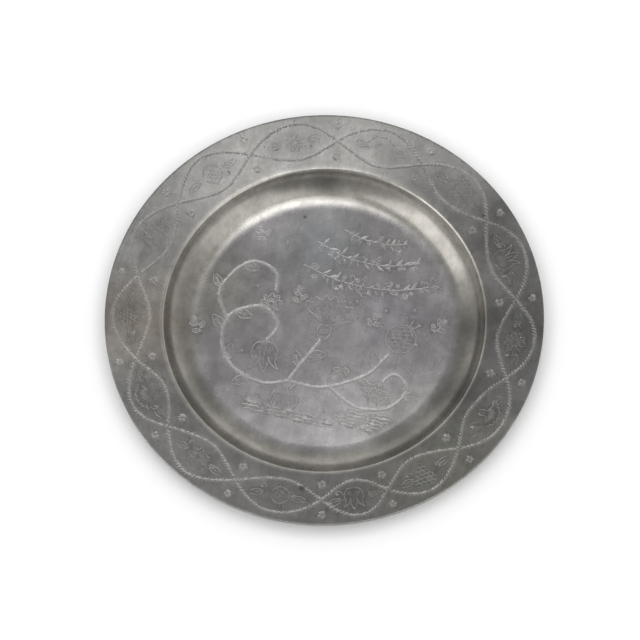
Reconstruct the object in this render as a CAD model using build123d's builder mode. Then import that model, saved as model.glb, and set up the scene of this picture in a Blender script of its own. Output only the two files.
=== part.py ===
from build123d import *
import math
import os

# A broad-rimmed cast pewter plate, with the ring that it hangs from on the back of its rim.
# The origin is at the centre of the flat base, +Z is up and +Y points to the hanging ring.
# All sizes are in millimetres.

# Plate: one thin cast and turned dish
PLATE_DIAMETER = 345.0
RIM_WIDTH = 45.5  # outer edge in to the lip of the well, seen from above
RIM_RISE = 6.0  # lip up to the outer edge, along the rim's straight face
RIM_THICKNESS = 1.9
BOUGE_WIDTH = 26.0  # lip in to the flat floor, across the curved side of the well
WELL_DEPTH = 17.0  # lip down to the floor
FLOOR_THICKNESS = 2.0  # also the thickness of the bouge
LIP_ROUNDING = 3.5
BACK_ROUNDING = 4.0  # hollow behind the lip

# Edge of the rim, with a bead underneath that stiffens it
EDGE_ROUNDING = 0.5
BEAD_WIDTH = 5.0
BEAD_DEPTH = 1.4
BEAD_ROUNDING = 0.6

# Hanger: a cast lug with a pad soldered under the rim, and a wire ring through its eye
LUG_INSET = 14.0  # outer edge of the plate in to the eye
EYE_DROP = 4.4  # underside of the rim down to the middle of the eye
LUG_THICKNESS = 2.4
LUG_WALL = 1.5  # metal round the eye
LUG_ROUNDING = 0.35
PAD_LENGTH = 12.0  # along the rim
PAD_WIDTH = 8.0  # across the rim
PAD_THICKNESS = 1.2
PAD_ROUNDING = 2.5
SOLDER_WIDTH = 1.1  # solder seam round the pad
SOLDER_HEIGHT = 0.8
WIRE_DIAMETER = 2.0
EYE_CLEARANCE = 0.4
TABLE_GAP = 1.5  # hanging ring down to the table

# Section of the plate, as distances from the axis and heights above the base
plate_radius = PLATE_DIAMETER / 2
lip_radius = plate_radius - RIM_WIDTH
floor_radius = lip_radius - BOUGE_WIDTH
lip_height = FLOOR_THICKNESS + WELL_DEPTH
rim_slope = RIM_RISE / RIM_WIDTH
bead_start = plate_radius - BEAD_WIDTH
bead_rounding = min(BEAD_ROUNDING, 0.45 * BEAD_DEPTH)


def rim_face(radius):
    """Height of the rim's straight upper face at a distance from the axis."""
    return lip_height + rim_slope * (radius - lip_radius)


def rim_underside(radius):
    """Height of the rim's straight underside at a distance from the axis."""
    return rim_face(radius) - RIM_THICKNESS


def bouge_back_end():
    """Where the back of the bouge, a circle round the same centre as its front, meets the rim."""
    front_arc = (BOUGE_WIDTH**2 + WELL_DEPTH**2) / (2 * WELL_DEPTH)
    back_arc = front_arc + FLOOR_THICKNESS
    drop = rim_underside(floor_radius) - back_arc
    spread = math.sqrt((1 + rim_slope**2) * back_arc**2 - drop**2)
    reach = (spread - rim_slope * drop) / (1 + rim_slope**2)
    return floor_radius + reach, rim_underside(floor_radius + reach)


back_corner = bouge_back_end()
lip_corner = (lip_radius, lip_height)
edge_top = (plate_radius, rim_face(plate_radius))
edge_foot = (plate_radius, rim_underside(plate_radius) - BEAD_DEPTH)
bead_top = (bead_start, rim_underside(bead_start))
bead_foot = (bead_start, rim_underside(bead_start) - BEAD_DEPTH)

with BuildPart() as plate:
    with BuildSketch(Plane.XZ) as section:
        with BuildLine():
            Line((0, 0), (floor_radius, 0))
            TangentArc((floor_radius, 0), back_corner, tangent=(1, 0))
            Polyline(back_corner, bead_top, bead_foot, edge_foot, edge_top, lip_corner)
            TangentArc((floor_radius, FLOOR_THICKNESS), lip_corner, tangent=(1, 0))
            Polyline((floor_radius, FLOOR_THICKNESS), (0, FLOOR_THICKNESS), (0, 0))
        make_face()
        for corner, rounding in (
            (lip_corner, LIP_ROUNDING),
            (back_corner, BACK_ROUNDING),
            (bead_top, bead_rounding),
            (bead_foot, bead_rounding),
            (edge_foot, bead_rounding),
            (edge_top, EDGE_ROUNDING),
        ):
            fillet(section.vertices().sort_by_distance(corner)[0], radius=rounding)
    revolve(axis=Axis.Z)

# Hanger, at the top of the plate as it hangs: the eye runs along X, under the rim
eye_reach = plate_radius - LUG_INSET
eye_height = rim_underside(eye_reach) - EYE_DROP
eye_radius = WIRE_DIAMETER / 2 + EYE_CLEARANCE
lug_radius = eye_radius + LUG_WALL
overlap = RIM_THICKNESS / 2  # raw lug and solder reach this far into the rim before it is cut away
ring_radius = (eye_height - WIRE_DIAMETER / 2 - TABLE_GAP) / 2  # to the middle of the wire

pad_seat = Plane(
    origin=(0, eye_reach, rim_underside(eye_reach)),
    x_dir=(1, 0, 0),
    z_dir=(0, rim_slope, -1),
)

with BuildPart() as hanger_lug:
    with BuildSketch(Plane.YZ):
        with Locations((eye_reach, eye_height)):
            Circle(lug_radius)
        with Locations((eye_reach, eye_height + (EYE_DROP + overlap) / 2)):
            Rectangle(2 * lug_radius, EYE_DROP + overlap)
        with Locations((eye_reach, eye_height)):
            Circle(eye_radius, mode=Mode.SUBTRACT)
    extrude(amount=LUG_THICKNESS / 2, both=True)
    fillet(hanger_lug.faces().filter_by(Axis.X).edges(), radius=LUG_ROUNDING)
    with BuildSketch(pad_seat.offset(-overlap)):
        RectangleRounded(PAD_LENGTH, PAD_WIDTH, PAD_ROUNDING)
    extrude(amount=overlap + PAD_THICKNESS)
    add(plate.part, mode=Mode.SUBTRACT)

# Solder seam: a bevelled bead that fills the corner between the pad and the rim
solder_taper = math.degrees(math.atan2(SOLDER_WIDTH, SOLDER_HEIGHT))

with BuildPart() as solder_seam:
    with BuildSketch(pad_seat):
        RectangleRounded(
            PAD_LENGTH + 2 * SOLDER_WIDTH,
            PAD_WIDTH + 2 * SOLDER_WIDTH,
            PAD_ROUNDING + SOLDER_WIDTH,
        )
    extrude(amount=SOLDER_HEIGHT, taper=solder_taper)
    add(plate.part, mode=Mode.SUBTRACT)
    add(hanger_lug.part, mode=Mode.SUBTRACT)

with BuildPart() as hanging_ring:
    with BuildSketch(Plane.YZ):
        with Locations((eye_reach, eye_height)):
            Circle(WIRE_DIAMETER / 2)
    revolve(axis=Axis((0, eye_reach, eye_height - ring_radius), (0, 1, 0)))

os.makedirs("parts", exist_ok=True)
for name, piece in (
    ("plate", plate),
    ("hanger_lug", hanger_lug),
    ("solder_seam", solder_seam),
    ("hanging_ring", hanging_ring),
):
    piece.part.label = name
    export_step(piece.part, f"parts/{name}.step")

print(f"eye at y {eye_reach:.3f}, z {eye_height:.3f}, ring to mid wire {ring_radius:.3f}")
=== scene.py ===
import math
import random
from itertools import product

import bmesh
import bpy
import numpy as np
from mathutils import Matrix, Vector, noise
from mathutils.geometry import delaunay_2d_cdt


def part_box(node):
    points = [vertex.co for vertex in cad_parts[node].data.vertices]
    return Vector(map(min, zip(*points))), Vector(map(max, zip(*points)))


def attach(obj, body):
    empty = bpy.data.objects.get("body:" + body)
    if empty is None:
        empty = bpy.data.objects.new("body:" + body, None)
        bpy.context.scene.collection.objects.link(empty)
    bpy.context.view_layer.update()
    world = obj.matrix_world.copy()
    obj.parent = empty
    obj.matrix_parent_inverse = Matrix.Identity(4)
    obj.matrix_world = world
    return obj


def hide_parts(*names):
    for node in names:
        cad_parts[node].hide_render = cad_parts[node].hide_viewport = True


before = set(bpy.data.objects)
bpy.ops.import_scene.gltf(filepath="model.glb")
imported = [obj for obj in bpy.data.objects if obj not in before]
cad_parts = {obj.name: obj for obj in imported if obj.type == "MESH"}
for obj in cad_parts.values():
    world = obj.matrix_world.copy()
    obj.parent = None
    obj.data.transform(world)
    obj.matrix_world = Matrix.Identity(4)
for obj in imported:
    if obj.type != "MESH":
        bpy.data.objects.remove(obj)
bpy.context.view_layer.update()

# An engraved pewter plate. Its front is cut with real grooves, in the manner of hand engraving.
# Sizes are in millimetres in the plate's own frame, and every mesh is scaled to metres as it is made.
MM = 0.001
SEED = 7
random.seed(SEED)
noise.seed_set(SEED)  # unseeded, noise_vector gives other values in each run

# Section of the plate, as in the solid that it stands for
plate_low, plate_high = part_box("plate")
PLATE_RADIUS = (plate_high.x - plate_low.x) / 2 / MM
RIM_WIDTH = 45.5
RIM_RISE = 6.0
RIM_THICKNESS = 1.9
BOUGE_WIDTH = 26.0
WELL_DEPTH = 17.0
FLOOR_THICKNESS = 2.0
LIP_ROUNDING = 3.5
BACK_ROUNDING = 4.0
BEAD_WIDTH = 5.0
BEAD_DEPTH = 1.4
BEAD_ROUNDING = 0.6

LIP_RADIUS = PLATE_RADIUS - RIM_WIDTH
FLOOR_RADIUS = LIP_RADIUS - BOUGE_WIDTH
LIP_HEIGHT = FLOOR_THICKNESS + WELL_DEPTH
RIM_SLOPE = RIM_RISE / RIM_WIDTH
BOUGE_ARC = (BOUGE_WIDTH**2 + WELL_DEPTH**2) / (2 * WELL_DEPTH)

# How finely the plate is meshed, and where its engraved faces end
TURN_STEPS = 300
BOUGE_STEPS = 20
LIP_STEPS = 9
HOLLOW_STEPS = 6
BACK_STEPS = 16
UNDERSIDE_RINGS = (156.0, 148.0, 140.0)
BASE_RINGS = (84.0, 60.0, 36.0, 14.0)
BEAD_RUN = 4.0  # flat stretch beside the bead
FLOOR_MESH_RADIUS = FLOOR_RADIUS + 9.0
RIM_MESH_INNER = LIP_RADIUS + 5.0
RIM_MESH_OUTER = PLATE_RADIUS - 1.6
FILL_SPACING = 5.0
CUT_MARGIN = 0.6  # cuts stay this far inside an engraved face

# Camera, fitted to the outline of the plate in the 640 by 640 photograph
CAMERA_DISTANCE = 3.0
CAMERA_ELEVATION = 68.87
CAMERA_AZIMUTH = 17.0
CAMERA_ROLL = -2.67
CAMERA_FIELD = 9.587
AIM_RIGHT = -3.36
AIM_UP = -1.68
AIM_HEIGHT = 20.5


def rim_face(radius):
    """Height of the rim's straight face at a distance from the axis."""
    return LIP_HEIGHT + RIM_SLOPE * (radius - LIP_RADIUS)


def front_height(radius):
    """Height of the engraved faces: the floor with the foot of the bouge, and the rim."""
    if radius <= FLOOR_RADIUS:
        return FLOOR_THICKNESS
    if radius < LIP_RADIUS:
        out = radius - FLOOR_RADIUS
        return FLOOR_THICKNESS + BOUGE_ARC - math.sqrt(BOUGE_ARC**2 - out**2)
    return rim_face(radius)


def circle_below_rim(circle_radius, drop):
    """Point of a circle round the bouge's centre, on the rim's side, a drop below the rim's face."""
    slant = math.sqrt(1 + RIM_SLOPE**2)
    level = rim_face(FLOOR_RADIUS) - drop * slant - (FLOOR_THICKNESS + BOUGE_ARC)
    out = (math.sqrt(slant**2 * circle_radius**2 - level**2) - RIM_SLOPE * level) / slant**2
    return Vector((FLOOR_RADIUS + out, rim_face(FLOOR_RADIUS + out) - drop * slant))


def arc_points(center, radius, start, end, steps):
    """Points of an arc, angles in radians."""
    turns = [start + (end - start) * i / steps for i in range(steps + 1)]
    return [Vector((center[0] + radius * math.cos(a), center[1] + radius * math.sin(a))) for a in turns]


def rounded(corners, rounding, steps=4):
    """A line through corners, with curves at the inner ones that start a rounding away from them."""
    path = [Vector(corners[0])]
    for before, corner, after in zip(corners, corners[1:], corners[2:]):
        corner = Vector(corner)
        start = corner + (Vector(before) - corner).normalized() * rounding
        end = corner + (Vector(after) - corner).normalized() * rounding
        for i in range(steps + 1):
            t = i / steps
            path.append(start * (1 - t) ** 2 + corner * 2 * t * (1 - t) + end * t**2)
    path.append(Vector(corners[-1]))
    return path


def bouge_and_lip():
    """Section from the floor's mesh up the bouge and over the lip to the rim's mesh."""
    center = Vector((FLOOR_RADIUS, FLOOR_THICKNESS + BOUGE_ARC))
    lip_center = circle_below_rim(BOUGE_ARC + LIP_ROUNDING, LIP_ROUNDING)
    toward_lip = lip_center - center
    lip_angle = math.atan2(toward_lip.y, toward_lip.x)
    start_angle = -math.acos((FLOOR_MESH_RADIUS - FLOOR_RADIUS) / BOUGE_ARC)
    bouge = arc_points(center, BOUGE_ARC, start_angle, lip_angle, BOUGE_STEPS)
    rim_normal = math.pi / 2 + math.atan(RIM_SLOPE)
    lip = arc_points(lip_center, LIP_ROUNDING, lip_angle + math.pi, rim_normal, LIP_STEPS)
    return bouge + lip[1:] + [Vector((RIM_MESH_INNER, front_height(RIM_MESH_INNER)))]


def rim_underside(radius):
    """Height of the rim's straight underside at a distance from the axis."""
    return rim_face(radius) - RIM_THICKNESS


def edge_and_back():
    """Section from the rim's mesh over the edge and its bead, along the back and in to the base."""
    outer = PLATE_RADIUS
    bead = outer - BEAD_WIDTH
    run_end = bead - BEAD_RUN
    edge = rounded(
        [
            (RIM_MESH_OUTER, front_height(RIM_MESH_OUTER)),
            (outer, front_height(outer)),
            (outer, rim_underside(outer) - BEAD_DEPTH),
            (bead, rim_underside(bead) - BEAD_DEPTH),
            (bead, rim_underside(bead)),
            (run_end, rim_underside(run_end)),
        ],
        BEAD_ROUNDING,
    )
    back_arc = BOUGE_ARC + FLOOR_THICKNESS
    hollow = circle_below_rim(back_arc + BACK_ROUNDING, RIM_THICKNESS + BACK_ROUNDING)
    center = Vector((FLOOR_RADIUS, FLOOR_THICKNESS + BOUGE_ARC))
    toward = hollow - center
    hollow_angle = math.atan2(toward.y, toward.x)
    rim_normal = math.pi / 2 + math.atan(RIM_SLOPE)
    underside = [Vector((r, rim_underside(r))) for r in UNDERSIDE_RINGS]
    corner = arc_points(hollow, BACK_ROUNDING, rim_normal, hollow_angle + math.pi, HOLLOW_STEPS)
    back = arc_points(center, back_arc, hollow_angle, -math.pi / 2, BACK_STEPS)
    base = [Vector((r, 0.0)) for r in BASE_RINGS]
    return edge + underside + corner + back[1:] + base


# Engraving: every stroke is a list of points with a width at each of them
MAIN_LINE = 0.85
PETAL_LINE = 0.75
LEAF_LINE = 0.7
FINE_LINE = 0.6
HAIR_LINE = 0.5
SHORTEST_LINE = 0.4
GROOVE_DEPTH_SHARE = 0.42  # depth of a cut as a share of its width
DEEPEST_CUT = 0.28
SHALLOWEST_CUT = 0.03  # less than this is left uncut
WELL_BOLDNESS = 1.3  # how much wider the strokes in the well are
SHAKE_SCALE = 0.13  # shakes of the hand per millimetre
ROPE_PITCH = 3.0
ROPE_SLANT = 50
ROPE_STROKE_SHARE = 0.52  # width of a rope's strokes as a share of its pitch
RUBBED_SHARE = 0.9  # how much of a rope's width is rubbed bright
strokes = []
burnished_bands = []  # lines with widths, like the strokes


def smooth(points, spacing):
    """A Catmull-Rom curve through points, sampled at about a spacing."""
    pts = [np.array(p, float) for p in points]
    ends = [2 * pts[0] - pts[1]] + pts + [2 * pts[-1] - pts[-2]]
    curve = []
    for a, b, c, d in zip(ends, ends[1:], ends[2:], ends[3:]):
        count = max(1, round(float(np.linalg.norm(c - b)) / spacing))
        for t in np.arange(count) / count:
            bend = (2 * a - 5 * b + 4 * c - d) * t**2 + (3 * b - a - 3 * c + d) * t**3
            curve.append(b + 0.5 * ((c - a) * t + bend))
    curve.append(pts[-1])
    return np.array(curve)


def sideways(line):
    """Unit vectors to the left of a line at each of its points."""
    way = np.gradient(line, axis=0)
    way /= np.linalg.norm(way, axis=1)[:, None] + 1e-9
    return np.stack((-way[:, 1], way[:, 0]), axis=1)


def cut(points, width=FINE_LINE, spacing=2.0, wobble=0.35, fade=1.6):
    """One engraved stroke: a smooth line with an unsteady hand, pointed at both ends."""
    line = smooth(points, spacing)
    if len(line) == 2:
        line = np.array((line[0], line.mean(axis=0), line[1]))
    for p in line:
        shake = noise.noise_vector(Vector((p[0] * SHAKE_SCALE, p[1] * SHAKE_SCALE, 3.0)))
        p += wobble * np.array((shake.x, shake.y))
    along = np.concatenate(([0.0], np.cumsum(np.linalg.norm(np.diff(line, axis=0), axis=1))))
    if along[-1] < SHORTEST_LINE:
        return
    if np.hypot(*line[0]) < FLOOR_MESH_RADIUS:
        width *= WELL_BOLDNESS
    fade = min(fade, along[-1] / 2)
    pressure = np.minimum(1.0, np.minimum(along, along[-1] - along) / fade)
    strokes.append((line, width * random.uniform(0.8, 1.15) * pressure))


def ticks(path, length, pitch, slant=70, width=FINE_LINE):
    """Short strokes across a path."""
    line = smooth(path, pitch)
    for here, across in zip(line[1:-1], sideways(line)[1:-1]):
        lean = math.radians(slant - 90) + random.uniform(-0.15, 0.15)
        turned = np.array((
            across[0] * math.cos(lean) - across[1] * math.sin(lean),
            across[0] * math.sin(lean) + across[1] * math.cos(lean),
        ))
        reach = 0.5 * length * random.uniform(0.75, 1.15)
        cut((here - reach * turned, here + reach * turned), width, 0.7 * reach, fade=0.6)


def rope(path, width):
    """A stem: blunt slanting strokes along a fine line, like the twist of a rope, on a rubbed band."""
    cut(path, FINE_LINE, 2.4)
    ticks(path, width, ROPE_PITCH, ROPE_SLANT, ROPE_STROKE_SHARE * ROPE_PITCH)
    line = smooth(path, ROPE_PITCH)
    burnished_bands.append((line.tolist(), [RUBBED_SHARE * width] * len(line)))


class Place:
    """Where a motif sits: its local points, with +y the way it grows, turn into points of the plate."""

    def __init__(self, x, y, turn):
        self.x, self.y = x, y
        self.c, self.s = math.cos(math.radians(turn)), math.sin(math.radians(turn))

    def __call__(self, *points):
        return [(self.x + u * self.c - v * self.s, self.y + u * self.s + v * self.c) for u, v in points]

    def within(self, x, y, turn):
        """A place inside this one, at a local point and turned further by degrees."""
        own = math.degrees(math.atan2(self.s, self.c))
        return Place(*self((x, y))[0], own + turn)


def circle(place, x, y, radius, width=FINE_LINE):
    """A ring in one stroke."""
    around = np.linspace(0, 2 * math.pi, 9)
    points = [(x + radius * math.cos(t), y + radius * math.sin(t)) for t in around]
    cut(place(*points), width, 1.6, fade=0.3)


def leaf(place, length, width, veins=4):
    """A pointed leaf with a midrib and slanting veins."""
    for half in (-width / 2, width / 2):
        side = ((0, 0), (0.8, 0.25), (1, 0.5), (0.55, 0.8), (0, 1))
        cut(place(*[(u * half, v * length) for u, v in side]), LEAF_LINE, 2.4)
        for i in range(veins):
            v = 0.12 + 0.62 * i / veins
            cut(place((0, v * length), (half * 0.8, (v + 0.15) * length)), HAIR_LINE, 4.0)
    cut(place((0, -0.1 * length), (0, 0.88 * length)), FINE_LINE, 5.0)


def gouge(place, length, width):
    """A leaf made by one broad cut that is pointed at both ends."""
    cut(place((0, 0), (0.1 * length, 0.5 * length), (0, length)), width, 2.0, fade=0.5 * length)


def rosette(place, radius, petals=9):
    """A small flower of broad gouged petals, which shines as one bright spot."""
    for i in range(petals):
        a = 2 * math.pi * i / petals + random.uniform(-0.15, 0.15)
        c, s = math.cos(a), math.sin(a)
        near, far = 0.1 * radius, radius * random.uniform(0.82, 1.12)
        cut(place((near * c, near * s), (far * c, far * s)), 0.42 * radius, 2.0, fade=0.4 * radius)
    rubbed = place((-0.1 * radius, 0), (0.1 * radius, 0))
    burnished_bands.append((rubbed, [1.8 * radius] * 2))


def tendril(place, size):
    """A stem that ends in a curl."""
    curl = ((0, 0), (0.25, 0.35), (0.2, 0.75), (-0.12, 0.95), (-0.34, 0.75), (-0.22, 0.52), (-0.04, 0.62))
    cut(place(*[(u * size, v * size) for u, v in curl]), FINE_LINE, 1.6)


def star(place, reach):
    """Three short strokes across each other, which fill a bare spot."""
    for turn in (0, 60, 120):
        arm = place.within(0, 0, turn)
        cut(arm((0, -reach), (0, reach)), FINE_LINE, 4.0)


def sprig(place, size):
    """A short stem with three leaves and a bud."""
    cut(place((0, 0), (0.06 * size, 0.4 * size), (0, 0.8 * size)), FINE_LINE, 3.0)
    for turn, up in ((55, 0.15), (-55, 0.32), (45, 0.52)):
        leaf(place.within(0, up * size, turn), 0.5 * size, 0.22 * size, veins=2)
    rosette(place.within(0, 0.92 * size, 0), 0.16 * size, petals=6)


def hatch_disc(place, x, y, radius, pitch, turn):
    """Parallel lines that shade a round form."""
    inner = place.within(x, y, turn)
    count = int(radius / pitch)
    for v in np.arange(-count, count + 1) * pitch:
        half = math.sqrt(max(0.0, radius**2 - v**2)) * 0.92
        cut(inner((-half, v), (half, v)), HAIR_LINE, 5.0)


def pomegranate(place, size):
    """A round fruit with a crown, shaded by crossing lines."""
    circle(place, 0, 0.5 * size, 0.4 * size, MAIN_LINE)
    hatch_disc(place, 0, 0.5 * size, 0.4 * size, 0.11 * size, 28)
    hatch_disc(place, 0, 0.5 * size, 0.4 * size, 0.16 * size, -35)
    for lean in (-0.16, 0, 0.16):
        cut(place((lean * size * 0.6, 0.9 * size), (lean * size * 1.5, 1.14 * size)), MAIN_LINE)
    cut(place((0, -0.05 * size), (0, 0.1 * size)))


def tulip(place, size):
    """A flower cup of three pointed petals."""
    for side in (-size, size):
        outer = ((0, 0), (0.3, 0.08), (0.44, 0.38), (0.36, 0.7), (0.5, 1.0))
        inner = ((0.5, 1.0), (0.24, 0.78), (0.12, 0.5))
        for shape in (outer, inner):
            cut(place(*[(u * side, v * size) for u, v in shape]), PETAL_LINE, 2.0)
        for i in range(4):
            u = side * (0.3 - 0.055 * i)
            cut(place((u * 0.7, 0.14 * size), (u, (0.34 + 0.07 * i) * size)), HAIR_LINE, 4.0)
    middle = ((-0.12, 0.5), (-0.14, 0.74), (0, 1.08), (0.14, 0.74), (0.12, 0.5))
    cut(place(*[(u * size, v * size) for u, v in middle]), LEAF_LINE, 2.0)
    cut(place((0, 0.2 * size), (0, 0.85 * size)), FINE_LINE, 4.0)


def carnation(place, size):
    """A fan of toothed petals over a hatched cup."""
    for side in (-size, size):
        cut(place((0.07 * side, 0), (0.15 * side, 0.2 * size), (0.1 * side, 0.4 * size)), LEAF_LINE)
        cut(place((0.1 * side, 0.4 * size), (0.54 * side, 0.62 * size)))
    for v in (0.06, 0.15, 0.24, 0.33):
        cut(place((-0.11 * size, v * size), (0.11 * size, (v + 0.05) * size)), HAIR_LINE, 4.0)
    fan = place.within(0, 0.36 * size, 0)

    def ray(angle, reach):
        return reach * size * math.sin(angle), reach * size * math.cos(angle)

    teeth = np.radians(np.linspace(-64, 64, 15))
    cut(fan(*[ray(a, 0.72 if i % 2 else 0.6) for i, a in enumerate(teeth)]), LEAF_LINE, 1.6)
    for a in np.radians(np.linspace(-60, 60, 17)):
        cut(fan(ray(a, random.uniform(0.08, 0.2)), ray(a, random.uniform(0.42, 0.58))), FINE_LINE, 5.0)


def grapes(place, size):
    """A hanging bunch of small rings."""
    for row, count in enumerate((4, 5, 4, 3, 2, 1)):
        for i in range(count):
            circle(place, (i - (count - 1) / 2) * 0.2 * size, (0.95 - 0.17 * row) * size, 0.09 * size)
    cut(place((0, 1.0 * size), (0.05 * size, 1.2 * size)), MAIN_LINE)


def daisy(place, size):
    """An open flower of looped petals."""
    for i in range(9):
        petal = place.within(0, 0.5 * size, 40 * i).within(0, 0.1 * size, 0)
        leaf(petal, 0.4 * size, 0.2 * size, veins=1)
    circle(place, 0, 0.5 * size, 0.1 * size)


# Rim: two waving ribbon stems, with a flower or fruit in each loop and rosettes at each crossing.
# Angles along the rim are in degrees from the right of the photograph, and they count anticlockwise.
CROSSINGS = (5, 32, 59, 86, 113, 140, 166.7, 193.5, 217, 243.2, 269.5, 289, 313.5, 340)
STEM_RADIUS = 151.5
STEM_SWING = 15.0
SWING_SHAKE = 2.6
STEM_STEP = 0.9  # degrees between the points of a stem
RIBBON_WIDTH = 5.2
ROSETTES = ((138.5, 4.2), (164.4, 3.8))  # distance from the axis, and radius
MOTIF_SIZES = (17.0, 20.0)
MOTIF_LEANS = (-14, 14)
SPRAY_OFFSET = 10.5  # leaf beside a motif, from the middle of the loop
SPRAY_LENGTHS = (11.5, 14.0)
SPRAY_WIDTH = 5.6
CURL_OFFSETS = (9.0, 2.5)  # along and across the rim
CURL_SIZE = 7.0


def rim_place(angle, radius, lean=0.0):
    """A place on the rim that grows outwards, turned by a lean in degrees."""
    turn = angle + CAMERA_AZIMUTH + CAMERA_ROLL
    a = math.radians(turn)
    return Place(radius * math.cos(a), radius * math.sin(a), turn - 90 + lean)


def stem_phase(angle):
    """How many crossings a stem has passed at an angle."""
    spots = np.array(CROSSINGS + (CROSSINGS[0] + 360,))
    return float(np.interp((angle - spots[0]) % 360 + spots[0], spots, np.arange(len(spots))))


def stem_reach(angle, side):
    """Distance of a stem from the plate's axis: a wave with an unsteady swing."""
    swing = STEM_SWING + SWING_SHAKE * noise.noise(Vector((angle * 0.07, side, 0.5)))
    return STEM_RADIUS + side * swing * math.sin(math.pi * stem_phase(angle))


def goes_under(angle, side):
    """Whether a stem is hidden at an angle, because the other one passes over it there."""
    phase = stem_phase(angle)
    over = 1 if round(phase) % 2 else -1
    apart = abs(stem_reach(angle, 1) - stem_reach(angle, -1))
    return over != side and apart < 0.5 * RIBBON_WIDTH


def ribbon(side):
    """One waving stem, broken where it passes under the other."""
    runs, run = [], []
    for angle in np.arange(CROSSINGS[0], CROSSINGS[0] + 360, STEM_STEP):
        point = rim_place(angle, stem_reach(angle, side))((0, 0))[0]
        run.append(point)
        if goes_under(angle, side):
            runs.append(run)
            run = [point]
    runs[0] = run + runs[0]
    for run in runs:
        if len(run) >= 4:
            rope(run, RIBBON_WIDTH)


def engrave_rim():
    """Strokes of the rim: stems, rosettes, and in each loop a motif with leaves and curls."""
    motifs = (tulip, grapes, carnation, daisy, pomegranate)
    for side in (-1, 1):
        ribbon(side)
    ends = CROSSINGS[1:] + (CROSSINGS[0] + 360,)
    for i, (start, end) in enumerate(zip(CROSSINGS, ends)):
        for distance, radius in ROSETTES:
            rosette(rim_place(start, distance), radius)
        middle = (start + end) / 2
        size = random.uniform(*MOTIF_SIZES)
        motif = motifs[i % len(motifs)]
        motif(rim_place(middle, STEM_RADIUS - 0.5 * size, random.uniform(*MOTIF_LEANS)), size)
        loop = rim_place(middle, STEM_RADIUS)
        along, across = CURL_OFFSETS
        for way in (-1, 1):
            spray = loop.within(way * SPRAY_OFFSET, 0, way * random.uniform(-105, -75))
            leaf(spray, random.uniform(*SPRAY_LENGTHS), SPRAY_WIDTH)
            curl = loop.within(way * along, -way * across, way * random.uniform(-150, -125))
            tendril(curl, CURL_SIZE)


# Well: a vase of flowers on a grassy ground, between scrolls, under three leaf garlands
SCROLL_WIDTH = 5.2
GROUND_PITCH = 2.9  # from one row of ground to the next
VASE_MOUTH = (-16, -52)
VASE_HEIGHT = 29
GRASS_LEVEL = -77
TUFTS = ((-40, 9), (10, 10), (36, 12), (52, 8))  # place along the ground, and reach
SPRIGS = ((-62, 58, 35), (-24, 12, 10), (34, 6, -25), (84, 14, -30), (-92, -30, 40), (26, -28, 150))
SPRIG_SIZE = 16
STARS = ((-60, 20), (-58, -36), (-28, 28), (20, 26), (44, 24), (74, 2), (66, 30), (-46, 62))
STAR_REACH = 2.4


def garland(points, size, pitch):
    """A hanging line with leaves, flowers and curls along it in no fixed order."""
    cut(points, MAIN_LINE, 2.4)
    line = smooth(points, pitch)
    for here, across in zip(line[1:-1], sideways(line)[1:-1]):
        place = Place(here[0], here[1], math.degrees(math.atan2(across[1], across[0])) - 180)
        for side in (-1, 1):
            growth = place.within(0, 0, side * random.uniform(20, 80))
            reach = size * random.uniform(0.65, 1.2)
            kind = random.random()
            if kind < 0.45:
                gouge(growth, reach, 0.3 * reach)
            elif kind < 0.65:
                rosette(growth.within(0, 0.6 * reach, 0), 0.32 * reach, petals=6)
            elif kind < 0.85:
                leaf(growth, 1.1 * reach, 0.5 * reach, veins=2)
            else:
                tendril(growth, reach)


def scroll(path, leaves=(), leaf_length=15.0):
    """A curling stem with leaves at shares of its length, in turn on either side."""
    line = smooth(path, 2.0)
    rope(line, SCROLL_WIDTH)
    for i, share in enumerate(leaves):
        k = int(share * (len(line) - 2)) + 1
        across = sideways(line)[k]
        side = -1 if i % 2 else 1
        heading = math.degrees(math.atan2(across[1], across[0])) - 180
        growth = Place(line[k][0], line[k][1], heading + 48 * side)
        leaf(growth, leaf_length, 0.5 * leaf_length, veins=6)


def vase(place, size):
    """A bellied vase with a hatched body, a foot and a flared neck."""
    profile = ((0.22, 0.0), (0.12, 0.1), (0.36, 0.38), (0.3, 0.62), (0.12, 0.8), (0.24, 1.0))
    for side in (-size, size):
        cut(place(*[(u * side, v * size) for u, v in profile]), MAIN_LINE, 2.0)
    for u, v in (profile[0], profile[1], profile[4], profile[5]):
        cut(place((-u * size, v * size), (u * size, v * size)), MAIN_LINE, 3.0)
    for u in np.linspace(-0.27, 0.27, 8):
        rib = ((0.4 * u, 0.14), (u, 0.38), (0.9 * u, 0.58), (0.4 * u, 0.76))
        cut(place(*[(a * size, b * size) for a, b in rib]), FINE_LINE, 3.0)


def tuft(x, y, reach):
    """Blades of grass."""
    for a in np.radians(np.linspace(25, 155, 11)):
        tip = reach * random.uniform(0.75, 1.1)
        root = (x + 2 * math.cos(a), y)
        bend = (x + 0.5 * tip * math.cos(a), y + 0.6 * tip * math.sin(a))
        end = (x + tip * math.cos(a), y + tip * math.sin(a))
        cut((root, bend, end), LEAF_LINE, 3.0)


def ground(left, right, y, rows):
    """Broken wavy lines of uneven ground, row below row."""
    for row in range(rows):
        x = left + random.uniform(0, 6)
        level = y - GROUND_PITCH * row
        while x < right - 6:
            length = random.uniform(9, 20)
            steps = [(length * k / 4, 0.9 if k % 2 else -0.6) for k in range(5)]
            wave = [(x + along, level + rise * random.uniform(0.5, 1.2)) for along, rise in steps]
            cut(wave, random.uniform(0.8, 1.1), 2.4)
            x += length + random.uniform(2, 5)


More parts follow.
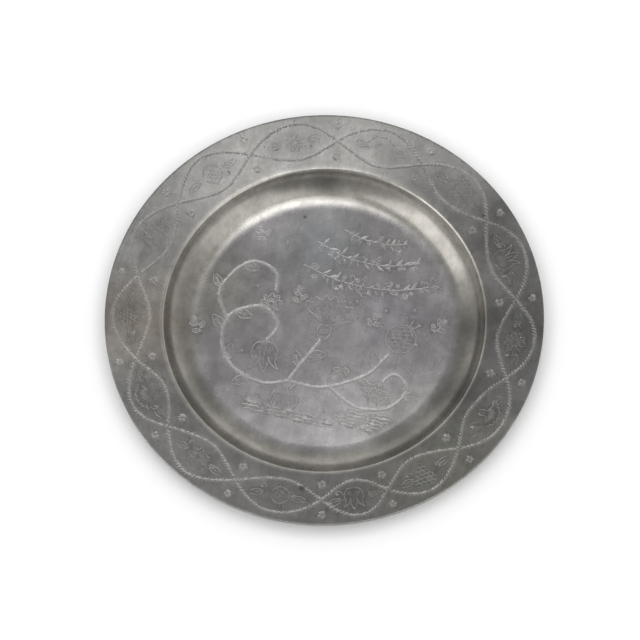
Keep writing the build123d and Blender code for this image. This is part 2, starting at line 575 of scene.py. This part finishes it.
def engrave_well():
    """Strokes of the well."""
    garland(((-6, 84), (14, 79), (34, 80), (48, 84)), 7.0, 5.0)
    garland(((-24, 69), (2, 61), (32, 61), (62, 70)), 8.0, 5.4)
    garland(((-30, 47), (4, 40), (42, 42), (78, 54)), 8.5, 5.6)
    scroll(
        (VASE_MOUTH, (-40, -58), (-70, -44), (-76, -12), (-54, 4), (-36, -8), (-42, -24)),
        (0.2, 0.34, 0.5, 0.62),
    )
    scroll(((-75, -16), (-88, 10), (-72, 38), (-50, 36), (-44, 18)), (0.3, 0.55), 14.0)
    scroll((VASE_MOUTH, (-12, -40), (-5, -24), (0, -12)), (0.3, 0.6))
    scroll((VASE_MOUTH, (12, -50), (42, -32), (56, -10)), (0.35, 0.6, 0.8))
    scroll(((16, -49), (42, -60), (66, -54), (76, -36), (64, -26), (55, -36)), (0.4, 0.62), 14.0)
    vase(Place(*VASE_MOUTH, 0).within(0, -VASE_HEIGHT, 0), VASE_HEIGHT)
    tulip(Place(-42, -24, 190), 24)
    daisy(Place(-44, 18, 170), 20)
    carnation(Place(0, -12, -4), 36)
    pomegranate(Place(56, -10, -20), 30)
    daisy(Place(55, -36, 160), 18)
    ground(-48, 28, -76, 3)
    ground(30, 66, -62, 6)
    for x, reach in TUFTS:
        tuft(x, GRASS_LEVEL, reach)
    for x, y, turn in SPRIGS:
        sprig(Place(x, y, turn), SPRIG_SIZE)
    for x, y in STARS:
        star(Place(x, y, random.uniform(0, 60)), STAR_REACH)


# Mesh of the plate
SEARCH_CELL = 1.5  # size of the cells that sort the points by place
MERGE_DISTANCE = 1e-5
WELD_DISTANCE = 2e-6  # in metres
WAVES = ((75, 0.22, 0.3), (28, 0.05, 5.1))  # length, height and start of each set of waves in the sheet
WAVE_START, WAVE_FULL = 1.0, 2.0  # heights between which the waves set in, above the flat base


def turned_ring(radius):
    """Points of a circle round the plate's axis."""
    return [
        (radius * math.cos(2 * math.pi * i / TURN_STEPS), radius * math.sin(2 * math.pi * i / TURN_STEPS))
        for i in range(TURN_STEPS)
    ]


def cells_between(low, high):
    """Numbers of the cells from one coordinate to another."""
    return range(int(low // SEARCH_CELL), int(high // SEARCH_CELL) + 1)


def groove_depths(points, cuts):
    """Depth of the deepest cut at each point."""
    cells = {}
    for i, (x, y) in enumerate(points):
        cells.setdefault((int(x // SEARCH_CELL), int(y // SEARCH_CELL)), []).append(i)
    depths = [0.0] * len(points)
    for line, widths in cuts:
        for (ax, ay), (bx, by), wa, wb in zip(line, line[1:], widths, widths[1:]):
            reach = max(wa, wb) / 2
            dx, dy = bx - ax, by - ay
            span = dx * dx + dy * dy
            if span == 0.0 or reach == 0.0:
                continue
            columns = cells_between(min(ax, bx) - reach, max(ax, bx) + reach)
            rows = cells_between(min(ay, by) - reach, max(ay, by) + reach)
            for i in (i for cell in product(columns, rows) for i in cells.get(cell, ())):
                px, py = points[i]
                t = min(1.0, max(0.0, ((px - ax) * dx + (py - ay) * dy) / span))
                half = 0.5 * (wa + (wb - wa) * t)
                away = math.hypot(px - ax - t * dx, py - ay - t * dy)
                depth = min(DEEPEST_CUT, 2 * GROOVE_DEPTH_SHARE * (half - away))
                if depth > max(depths[i], SHALLOWEST_CUT):
                    depths[i] = depth
    return depths


def fill_points(inner, outer):
    """Points that fill a front face, ring by ring."""
    filling = []
    radius = inner + FILL_SPACING
    while radius < outer - 0.5 * FILL_SPACING:
        count = int(2 * math.pi * radius / FILL_SPACING)
        twist = random.random()
        for i in range(count):
            angle = (i + twist) * 2 * math.pi / count
            filling.append(Vector((radius * math.cos(angle), radius * math.sin(angle))))
        radius += FILL_SPACING
    return filling


def engraved_face(inner, outer):
    """A front face between two radii, cut by the strokes that lie inside it.

    Gives its vertices, its triangles, which of them are cut, and a value for each vertex: 1 where the metal
    beside a cut is darkened by tarnish and painted shade, -1 where it is burnished.
    """
    points, edges = [], []

    def add_line(line, closed=False):
        start = len(points)
        points.extend(Vector((x, y)) for x, y in line)
        count = len(line)
        edges.extend((start + i, start + (i + 1) % count) for i in range(count if closed else count - 1))

    add_line(turned_ring(outer), closed=True)
    if inner:
        add_line(turned_ring(inner), closed=True)
    first_cut_point = len(points)
    cuts = []
    for line, widths in strokes:
        reach = np.hypot(line[:, 0], line[:, 1])
        if reach.min() < inner + CUT_MARGIN or reach.max() > outer - CUT_MARGIN:
            continue
        cuts.append((line.tolist(), widths.tolist()))
        across = sideways(line) * widths[:, None] / 2
        add_line(line)
        add_line(line + across)
        add_line(line - across)
    last_cut_point = len(points)
    points.extend(fill_points(inner, outer))
    verts, _, faces, origins, *_ = delaunay_2d_cdt(points, edges, [], 0, MERGE_DISTANCE, True)
    flat = [(v.x, v.y) for v in verts]
    depths = groove_depths(flat, cuts)
    kept = []
    hole = inner * math.cos(math.pi / TURN_STEPS) - 1e-3  # triangles nearer to the axis lie in the hole
    for face in faces:
        x = sum(flat[i][0] for i in face) / 3
        y = sum(flat[i][1] for i in face) / 3
        if inner == 0 or math.hypot(x, y) > hole:
            kept.append(face)
    placed = [(x, y, front_height(math.hypot(x, y)) - d) for (x, y), d in zip(flat, depths)]
    is_cut = [any(depths[i] > 0.0 for i in face) for face in kept]
    beside_cut = [all(first_cut_point <= i < last_cut_point for i in origin) for origin in origins]
    in_band = groove_depths(flat, burnished_bands)
    # metal beside a cut gets tarnish and painted shade, metal in a rubbed band is burnished
    tarnish_and_shade = [-1.0 if band > 0.0 else float(beside) for band, beside in zip(in_band, beside_cut)]
    return placed, kept, is_cut, tarnish_and_shade


def unevenness(x, y):
    """Slight waves of an old cast and hammered sheet, in millimetres."""
    level = 0.0
    for length, height, start in WAVES:
        level += height * noise.noise(Vector((x / length, y / length, start)))
    return level


def plate_mesh():
    """The whole plate as one closed mesh, with engraved faces, bouge, edge and back."""
    verts, faces, cut_flags, tarnish_and_shade = [], [], [], []

    def add_face_part(part):
        start = len(verts)
        verts.extend(part[0])
        faces.extend([start + i for i in face] for face in part[1])
        cut_flags.extend(part[2])
        tarnish_and_shade.extend(part[3])

    def add_section(section):
        start = len(verts)
        for point in section:
            verts.extend((x, y, point.y) for x, y in turned_ring(point.x))
            tarnish_and_shade.extend([0.0] * TURN_STEPS)
        for ring in range(len(section) - 1):
            for i in range(TURN_STEPS):
                j = (i + 1) % TURN_STEPS
                low, high = start + ring * TURN_STEPS, start + (ring + 1) * TURN_STEPS
                faces.append([low + i, high + i, high + j, low + j])
                cut_flags.append(False)
        return start + (len(section) - 1) * TURN_STEPS

    add_face_part(engraved_face(0.0, FLOOR_MESH_RADIUS))
    add_section([Vector((FLOOR_MESH_RADIUS, front_height(FLOOR_MESH_RADIUS)))] + bouge_and_lip()[1:])
    add_face_part(engraved_face(RIM_MESH_INNER, RIM_MESH_OUTER))
    last = add_section(edge_and_back())
    faces.append([last + i for i in range(TURN_STEPS)])
    cut_flags.append(False)

    waved = []
    for x, y, z in verts:
        lift = min(1.0, max(0.0, (z - WAVE_START) / (WAVE_FULL - WAVE_START)))
        waved.append((x * MM, y * MM, (z + lift * unevenness(x, y)) * MM))
    mesh = bpy.data.meshes.new("engraved_plate")
    mesh.from_pydata(waved, [], faces)
    mesh.polygons.foreach_set("material_index", [1 if flag else 0 for flag in cut_flags])
    mesh.attributes.new("tarnish_and_shade", "FLOAT", "POINT").data.foreach_set("value", tarnish_and_shade)
    weld(mesh)
    smooth_front(mesh)
    return mesh


def weld(mesh):
    """Joins the parts of the plate where their edges meet, and keeps the rims of the cuts crisp."""
    work = bmesh.new()
    work.from_mesh(mesh)
    bmesh.ops.remove_doubles(work, verts=work.verts, dist=WELD_DISTANCE)
    bmesh.ops.recalc_face_normals(work, faces=work.faces)
    for edge in work.edges:
        kinds = {face.material_index for face in edge.link_faces}
        edge.smooth = len(kinds) < 2
    for face in work.faces:
        face.smooth = True
    work.to_mesh(mesh)
    work.free()


def smooth_normal(x, y):
    """Normal of the uncut front at a point, from its height a little way off on each side."""
    step = 0.4

    def level(u, v):
        return front_height(math.hypot(u, v)) + unevenness(u, v)

    slope_x = (level(x + step, y) - level(x - step, y)) / (2 * step)
    slope_y = (level(x, y + step) - level(x, y - step)) / (2 * step)
    return Vector((-slope_x, -slope_y, 1.0)).normalized()


def smooth_front(mesh):
    """Shades the uncut front by the normals of its smooth surface, so that its triangles don't show."""
    normals = [corner.vector.copy() for corner in mesh.corner_normals]
    known = {}
    for polygon in mesh.polygons:
        reach = math.hypot(polygon.center.x, polygon.center.y) / MM
        engraved = reach < FLOOR_MESH_RADIUS or RIM_MESH_INNER < reach < RIM_MESH_OUTER
        underneath = polygon.normal.z < 0.5
        if polygon.material_index or not engraved or underneath:
            continue
        for corner in polygon.loop_indices:
            i = mesh.loops[corner].vertex_index
            if i not in known:
                spot = mesh.vertices[i].co / MM
                known[i] = smooth_normal(spot.x, spot.y)
            normals[corner] = known[i]
    mesh.normals_split_custom_set(normals)


# Materials
class Nodes:
    """A short way to write a material's nodes."""

    def __init__(self, name):
        self.material = bpy.data.materials.new(name)
        self.material.use_nodes = True
        self.tree = self.material.node_tree
        self.shader = self.tree.nodes["Principled BSDF"]

    def add(self, kind, settings=None, **inputs):
        node = self.tree.nodes.new(kind)
        for key, value in (settings or {}).items():
            setattr(node, key, value)
        for key, value in inputs.items():
            self.set(node, key, value)
        return node

    def set(self, node, socket, value):
        """A link or a constant for a socket, which is given by its name or its number."""
        target = node.inputs[socket]
        if isinstance(value, bpy.types.NodeSocket):
            self.tree.links.new(value, target)
        else:
            target.default_value = value

    def where(self):
        return self.add("ShaderNodeTexCoord").outputs["Object"]

    def noise(self, scale, detail=3.0, roughness=0.55, vector=None):
        node = self.add("ShaderNodeTexNoise", Scale=scale, Detail=detail, Roughness=roughness)
        self.set(node, "Vector", vector or self.where())
        return node.outputs["Fac"]

    def remap(self, value, low, high, to_low=0.0, to_high=1.0):
        node = self.add("ShaderNodeMapRange", {"interpolation_type": "SMOOTHSTEP"}, Value=value)
        for key, number in (("From Min", low), ("From Max", high), ("To Min", to_low), ("To Max", to_high)):
            node.inputs[key].default_value = number
        return node.outputs["Result"]

    def math(self, operation, *values):
        node = self.add("ShaderNodeMath", {"operation": operation})
        for i, value in enumerate(values):
            self.set(node, i, value)
        return node.outputs[0]

    def mix(self, factor, a, b):
        node = self.add("ShaderNodeMix", {"data_type": "RGBA"})
        self.set(node, 0, factor)
        self.set(node, 6, a)
        self.set(node, 7, b)
        return node.outputs[2]

    def scale(self, colour, value):
        """A colour times a value."""
        node = self.add("ShaderNodeVectorMath", {"operation": "SCALE"})
        self.set(node, 0, colour)
        self.set(node, "Scale", value)
        return node.outputs[0]

    def stretched(self, across, along, turn):
        """Coordinates for streaks: scales across and along them, and their turn in degrees."""
        node = self.add("ShaderNodeMapping", {"vector_type": "POINT"})
        self.set(node, "Vector", self.where())
        node.inputs["Rotation"].default_value[2] = math.radians(turn)
        node.inputs["Scale"].default_value = (across, along, across)
        return node.outputs[0]

    def away_from(self, x, y):
        """Distance in metres from an upright line through a point of the plate, given in millimetres."""
        flat = self.add("ShaderNodeVectorMath", {"operation": "MULTIPLY"})
        self.set(flat, 0, self.where())
        flat.inputs[1].default_value = (1, 1, 0)
        node = self.add("ShaderNodeVectorMath", {"operation": "DISTANCE"})
        self.set(node, 0, flat.outputs[0])
        node.inputs[1].default_value = (x * MM, y * MM, 0)
        return node.outputs["Value"]

    def radius(self):
        return self.away_from(0, 0)

    def spot(self, x, y, size):
        """1 at a point of the plate and 0 a size away from it, in millimetres."""
        return self.remap(self.away_from(x, y), 0.0, size * MM, 1.0, 0.0)

    def upward(self):
        """How far the surface faces up: 1 where it is level, 0 where it is upright, -1 underneath."""
        split = self.add("ShaderNodeSeparateXYZ")
        self.set(split, 0, self.add("ShaderNodeNewGeometry").outputs["Normal"])
        return split.outputs["Z"]

    def bump(self, height, strength, distance):
        node = self.add("ShaderNodeBump", Strength=strength, Distance=distance, Height=height)
        return node.outputs["Normal"]


# Colours of the pewter: a grey level for all of it, and a tint for each zone.
# A spot is a place on the plate and a size, in millimetres.
# A fade is a pair of distances from the axis, in metres.
PEWTER_GREY = 0.3
TARNISH_AND_SHADE_LEVEL = 0.82  # darkest tone beside a cut, as a share of the bare metal's: tarnish and painted shade of the cut's sides
BURNISH_LEVEL = 1.07  # brightest tone inside the rubbed bands
FLOOR_TINT = (1.02, 0.99, 0.995, 1)
BOUGE_TINT = (1.06, 1.01, 0.92, 1)
RIM_TINT = (0.87, 0.855, 0.825, 1)
BOUGE_FADE = (0.1, 0.112)
RIM_FADE = (0.126, 0.131)
SPOT_SHARE = 0.9  # how much of a spot's tint shows at its middle
FLOOR_SPOTS = (
    (-20, 65, 45, (0.96, 1.0, 1.03, 1)),
    (50, 20, 65, (1.015, 0.967, 1.02, 1)),
    (-92, 10, 45, (1.06, 1.01, 0.93, 1)),
)
RIM_SPOTS = (
    (-140, -38, 62, (0.98, 0.88, 0.77, 1)),
    # painted shade: a darker tint over the lower right of the rim
    (120, -95, 95, (0.76, 0.75, 0.665, 1)),
)
# Clouds in the patina: scale and roughness of a noise, the span of it that counts, and tones at its ends
CLOUDS = (
    (18.0, 0.45, (0.25, 0.75), (1.1, 0.88)),
    (75.0, 0.5, (0.2, 0.8), (1.08, 0.91)),
    (210.0, 0.5, (0.25, 0.75), (1.07, 0.93)),
)
FAINTEST_TARNISH_AND_SHADE_PLACE = (-60, 130)  # the tarnish and painted shade beside the cuts are weakest here
LIP_HIGHLIGHT_CENTER = (-0.6, -1.0)  # the lip carries a painted highlight, brightest along a circle a little off the plate's axis
LIP_HIGHLIGHT_RISE = (0.1228, 0.1255)  # distances from there in metres over which the painted highlight sets in
LIP_HIGHLIGHT_FALL = (0.1275, 0.1298)  # and over which it ends
# strength of the painted highlight along the lip, and below it the extra on the brighter stretch
LIP_HIGHLIGHT = 0.46
BRIGHTER_LIP_STRETCH = (117, -34, 130)  # place and size of the stretch of lip whose painted highlight is stronger than the rest
STRETCH_HIGHLIGHT = 0.55
CUT_COLOUR = (0.385, 0.38, 0.37, 1)
RIM_CUT_SHARE = 0.42  # how bright the rim's cuts stayed, beside those in the well
PIT_COLOUR = (0.06, 0.055, 0.05, 1)
PITS = ((18.7, -141.0, 4.2), (-38.5, 86.7, 2.2), (101.0, 114.0, 1.8))
PIT_SHARE = 0.85
PINHOLE_SCALE = 330.0
PINHOLE_FADE = (0.129, 0.132)

# Patina and painted light: spots of patina, painted highlight and painted shade, and how much lighter or
# darker they are
PATINA_AND_PAINTED_LIGHT = (
    (-22, 92, 42, 0.42),
    (30, -72, 62, 0.19),
    (118, 29, 32, -0.42),
    (117, -33, 32, -0.44),
    (72, 18, 44, -0.15),
    (-66, -26, 50, -0.2),
    (-29, -110, 22, 0.2),
    (27, -111, 22, 0.18),
    (-64, 68, 33, 0.42),
    (-84, 88, 20, -0.18),
    (-10, -88, 40, -0.08),
    (-29, 116, 20, -0.4),
    (122, 113, 52, -0.35),
    (160, 42, 46, -0.25),
    (-96, -12, 40, -0.12),
    (152, 22, 95, -0.3),
    (95, 105, 62, -0.3),
    (40, 132, 42, -0.25),
    (-112, -95, 50, -0.12),
    (75, -135, 60, -0.1),
    (-140, 45, 62, -0.18),
    (-164, -34, 36, -0.28),
    (0, -106, 18, 0.24),
    (52, -92, 20, 0.28),
    (90, -55, 20, 0.28),
    (-50, -94, 22, 0.2),
    (-86, -83, 24, -0.2),
    (150, 78, 36, -0.3),
    (-20, -48, 36, -0.17),
    (-74, -66, 26, -0.16),
    (-36, -122, 22, -0.15),
)


def zone_tint(n):
    """Tint of the floor, the bouge and the rim, with spots of other tints on floor and rim, one of them
    painted shade on the rim.
    """
    radius = n.radius()
    colour = FLOOR_TINT
    for *spot, tint in FLOOR_SPOTS:
        colour = n.mix(n.math("MULTIPLY", n.spot(*spot), SPOT_SHARE), colour, tint)
    colour = n.mix(n.remap(radius, *BOUGE_FADE), colour, BOUGE_TINT)
    colour = n.mix(n.remap(radius, *RIM_FADE), colour, RIM_TINT)
    for *spot, tint in RIM_SPOTS:
        colour = n.mix(n.math("MULTIPLY", n.spot(*spot), SPOT_SHARE), colour, tint)
    return colour


def cut_tones(n):
    """How the metal darkens beside the cuts with tarnish and painted shade, and how it brightens where it
    is burnished.
    """
    beside_cut = n.add("ShaderNodeAttribute", {"attribute_name": "tarnish_and_shade"}).outputs["Fac"]
    strength = n.remap(n.away_from(*FAINTEST_TARNISH_AND_SHADE_PLACE), 0.06, 0.17, 0.3, 1.0)
    tarnish_and_shade = n.math("MULTIPLY", n.remap(beside_cut, 0.45, 0.95), strength)
    darker = n.math("MULTIPLY_ADD", tarnish_and_shade, TARNISH_AND_SHADE_LEVEL - 1.0, 1.0)
    brighter = n.remap(beside_cut, -0.95, -0.2, BURNISH_LEVEL, 1.0)
    return darker, brighter


def lip_tone(n):
    """How much brighter the lip is painted, as a highlight along it."""
    reach = n.away_from(*LIP_HIGHLIGHT_CENTER)
    lip = n.math("MULTIPLY", n.remap(reach, *LIP_HIGHLIGHT_RISE), n.remap(reach, *LIP_HIGHLIGHT_FALL, 1.0, 0.0))
    highlight = n.math("MULTIPLY_ADD", n.spot(*BRIGHTER_LIP_STRETCH), STRETCH_HIGHLIGHT, LIP_HIGHLIGHT)
    return n.math("MULTIPLY_ADD", lip, highlight, 1.0)


def plate_colour(n):
    """Colour of the plate's metal: its tint times all the tones that lie over it, painted highlight and
    painted shade among them.
    """
    tones = [n.remap(n.noise(scale, 2.0, rough), *span, *ends) for scale, rough, span, ends in CLOUDS]
    streaks = n.noise(1.0, 2.0, 0.5, n.stretched(380.0, 20.0, 28))
    tones.append(n.remap(streaks, 0.3, 0.7, 1.03, 0.96))
    tones.extend(cut_tones(n))
    tones.extend(n.math("MULTIPLY_ADD", n.spot(*spot), amount, 1.0) for *spot, amount in PATINA_AND_PAINTED_LIGHT)
    tones.append(lip_tone(n))
    tones.append(PEWTER_GREY)
    grey = tones[0]
    for tone in tones[1:]:
        grey = n.math("MULTIPLY", grey, tone)
    return n.scale(zone_tint(n), grey)


def pits(n):
    """Where the metal is pitted: three larger pits, and a scatter of pinholes on the rim."""
    holes = n.remap(n.noise(PINHOLE_SCALE, 1.0, 0.4), 0.77, 0.81, 0.0, 0.5)
    amount = n.math("MULTIPLY", holes, n.remap(n.radius(), *PINHOLE_FADE))
    for pit in PITS:
        amount = n.math("MAXIMUM", amount, n.math("MULTIPLY", n.spot(*pit), PIT_SHARE))
    return n.math("MULTIPLY", amount, n.remap(n.upward(), 0.2, 0.5))


def plate_material():
    """Aged pewter, with fine scratches."""
    n = Nodes("aged_pewter")
    n.set(n.shader, "Base Color", n.mix(pits(n), plate_colour(n), PIT_COLOUR))
    n.set(n.shader, "Roughness", n.remap(n.noise(60.0, 4.0), 0.3, 0.7, 0.23, 0.31))
    scratches = n.noise(1.0, 2.0, 0.5, n.stretched(700.0, 30.0, -50))
    n.set(n.shader, "Normal", n.bump(scratches, 0.03, 0.0001))
    n.shader.inputs["Metallic"].default_value = 1.0
    return n.material


def cut_material():
    """Cuts that stayed bright in some places and took on the plate's colour in others."""
    n = Nodes("engraved_cut")
    bright = n.remap(n.noise(38.0, 3.0, 0.6), 0.36, 0.64, 0.3, 0.9)
    bright = n.math("MULTIPLY", bright, n.remap(n.noise(420.0, 2.0, 0.5), 0.35, 0.65, 0.6, 1.15))
    bright = n.math("MULTIPLY", bright, n.remap(n.radius(), *RIM_FADE, 1.0, RIM_CUT_SHARE))
    colour = n.mix(bright, plate_colour(n), CUT_COLOUR)
    n.set(n.shader, "Base Color", n.mix(pits(n), colour, PIT_COLOUR))
    n.shader.inputs["Roughness"].default_value = 0.42
    n.shader.inputs["Metallic"].default_value = 1.0
    return n.material


# Hanger: the material of each piece, and its clean and dull colours
HANGER_LOOKS = {
    "hanger_lug": ("cast_pewter", (0.36, 0.35, 0.34, 1), (0.2, 0.195, 0.185, 1)),
    "solder_seam": ("soft_solder", (0.5, 0.5, 0.49, 1), (0.3, 0.3, 0.29, 1)),
    "hanging_ring": ("tarnished_brass", (0.42, 0.3, 0.14, 1), (0.16, 0.11, 0.06, 1)),
}


def hanger_material(name, clean, dull):
    """Dull cast or drawn metal, tarnished in patches."""
    n = Nodes(name)
    age = n.remap(n.noise(260.0, 4.0, 0.6), 0.35, 0.65)
    n.set(n.shader, "Base Color", n.mix(age, clean, dull))
    n.set(n.shader, "Roughness", n.remap(n.noise(900.0, 3.0), 0.3, 0.7, 0.3, 0.5))
    n.set(n.shader, "Normal", n.bump(n.noise(1500.0, 3.0), 0.15, 0.0001))
    n.shader.inputs["Metallic"].default_value = 1.0
    return n.material


def add_plate():
    """The engraved mesh, in place of the plate's plain solid."""
    engrave_rim()
    engrave_well()
    mesh = plate_mesh()
    piece = bpy.data.objects.new("engraved_plate", mesh)
    bpy.context.scene.collection.objects.link(piece)
    mesh.materials.append(plate_material())
    mesh.materials.append(cut_material())
    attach(piece, "plate")
    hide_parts("plate")


def dress_hanger():
    """Materials for the pieces that stay as they are in the frame."""
    for node, look in HANGER_LOOKS.items():
        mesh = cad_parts[node].data
        mesh.materials.clear()
        mesh.materials.append(hanger_material(*look))


# Stage: a white floor under a grey sky, in metres
FLOOR_REACH = 6.0
FLOOR_COLOUR = (0.9, 0.9, 0.9, 1)
SKY_LIGHT = 0.5
HORIZON_LIGHT = 1.0
HORIZON_FADE = (0.1, 0.72)  # heights of a ray's direction between which horizon turns to sky
FRONT_SHARE = 0.38  # light from the camera's side, as a share of the rest
FRONT_FADE = (0.6, 0.97)

# Lamps: turn from the camera's right, angle from straight up, distance, size and radiance
METAL_PANELS = {
    "overhead_panel": (30, 3.5, 1.7, (0.62, 0.56), 3.5),
    "left_panel": (198, 49, 1.8, (1.3, 1.6), 2.1),
    "right_panel": (322, 44, 1.8, (1.4, 1.8), 0.95),
}
FLOOR_PANEL = (268, 14, 4.0, (3.9, 3.9), 2.9)


def add_floor():
    """A matt white floor."""
    far = FLOOR_REACH
    mesh = bpy.data.meshes.new("floor")
    mesh.from_pydata([(-far, -far, 0), (far, -far, 0), (far, far, 0), (-far, far, 0)], [], [(0, 1, 2, 3)])
    floor = bpy.data.objects.new("floor", mesh)
    bpy.context.scene.collection.objects.link(floor)
    material = bpy.data.materials.new("floor_white")
    material.use_nodes = True
    shader = material.node_tree.nodes["Principled BSDF"]
    shader.inputs["Base Color"].default_value = FLOOR_COLOUR
    shader.inputs["Roughness"].default_value = 0.9
    shader.inputs["Specular IOR Level"].default_value = 0.1
    mesh.materials.append(material)
    return floor


def add_world():
    """A grey sky over a light horizon, darker on the camera's side."""
    world = bpy.data.worlds.new("studio")
    bpy.context.scene.world = world
    world.use_nodes = True
    tree = world.node_tree
    background = tree.nodes["Background"]
    background.inputs["Color"].default_value = (1, 1, 1, 1)
    where = tree.nodes.new("ShaderNodeTexCoord")

    def ramp(direction, fade, before, after):
        """A level that changes with how far a ray points in a direction."""
        toward = tree.nodes.new("ShaderNodeVectorMath")
        toward.operation = "DOT_PRODUCT"
        toward.inputs[1].default_value = direction
        fall = tree.nodes.new("ShaderNodeMapRange")
        fall.interpolation_type = "SMOOTHSTEP"
        for key, number in zip(("From Min", "From Max", "To Min", "To Max"), (*fade, before, after)):
            fall.inputs[key].default_value = number
        tree.links.new(where.outputs["Generated"], toward.inputs[0])
        tree.links.new(toward.outputs["Value"], fall.inputs["Value"])
        return fall.outputs["Result"]

    level = tree.nodes.new("ShaderNodeMath")
    level.operation = "MULTIPLY"
    tree.links.new(ramp((0, 0, 1), HORIZON_FADE, HORIZON_LIGHT, SKY_LIGHT), level.inputs[0])
    tree.links.new(ramp(from_camera(270, 90), FRONT_FADE, 1.0, FRONT_SHARE), level.inputs[1])
    tree.links.new(level.outputs[0], background.inputs["Strength"])


def add_panel(name, turn, zenith_angle, distance, size, radiance):
    """A soft rectangular lamp that faces the plate."""
    way = Vector(from_camera(turn, zenith_angle)).normalized()
    data = bpy.data.lights.new(name, "AREA")
    data.shape = "RECTANGLE"
    data.size, data.size_y = size
    data.energy = radiance * math.pi * size[0] * size[1]
    lamp = bpy.data.objects.new(name, data)
    lamp.location = way * distance
    lamp.rotation_euler = way.to_track_quat("Z", "Y").to_euler()
    bpy.context.scene.collection.objects.link(lamp)
    return lamp


def from_camera(turn, zenith_angle):
    """A direction by its turn from the camera's right and its angle from straight up, in degrees."""
    a, p = math.radians(turn + CAMERA_AZIMUTH), math.radians(zenith_angle)
    return (math.sin(p) * math.cos(a), math.sin(p) * math.sin(a), math.cos(p))


def share_light(lamp, floor, floor_state):
    """Light the floor alone, or everything but the floor."""
    receivers = bpy.data.collections.new(lamp.name + "_receivers")
    receivers.objects.link(floor)
    receivers.collection_objects[0].light_linking.link_state = floor_state
    lamp.light_linking.receiver_collection = receivers


def add_lights(floor):
    """Panels that the metal mirrors, and one wide lamp that makes the floor white round a soft shadow."""
    for name, panel in METAL_PANELS.items():
        share_light(add_panel(name, *panel), floor, "EXCLUDE")
    share_light(add_panel("floor_panel", *FLOOR_PANEL), floor, "INCLUDE")


def add_camera():
    """A camera that aims near the plate's axis, by its elevation, azimuth and roll."""
    az, el = math.radians(CAMERA_AZIMUTH), math.radians(CAMERA_ELEVATION)
    back = Vector((math.sin(az) * math.cos(el), -math.cos(az) * math.cos(el), math.sin(el)))
    right = Vector((math.cos(az), math.sin(az), 0))
    up = back.cross(right)
    target = Vector((0, 0, AIM_HEIGHT * MM)) + right * AIM_RIGHT * MM + up * AIM_UP * MM
    data = bpy.data.cameras.new("camera")
    data.sensor_fit = "HORIZONTAL"
    data.angle = math.radians(CAMERA_FIELD)
    camera = bpy.data.objects.new("camera", data)
    level = Matrix((right, up, back)).transposed().to_4x4()
    turn = level @ Matrix.Rotation(math.radians(CAMERA_ROLL), 4, "Z")
    camera.matrix_world = Matrix.Translation(target + back * CAMERA_DISTANCE) @ turn
    bpy.context.scene.collection.objects.link(camera)
    bpy.context.scene.camera = camera


add_plate()
dress_hanger()
floor = add_floor()
add_world()
add_lights(floor)
add_camera()
bpy.context.scene.view_settings.view_transform = "Standard"
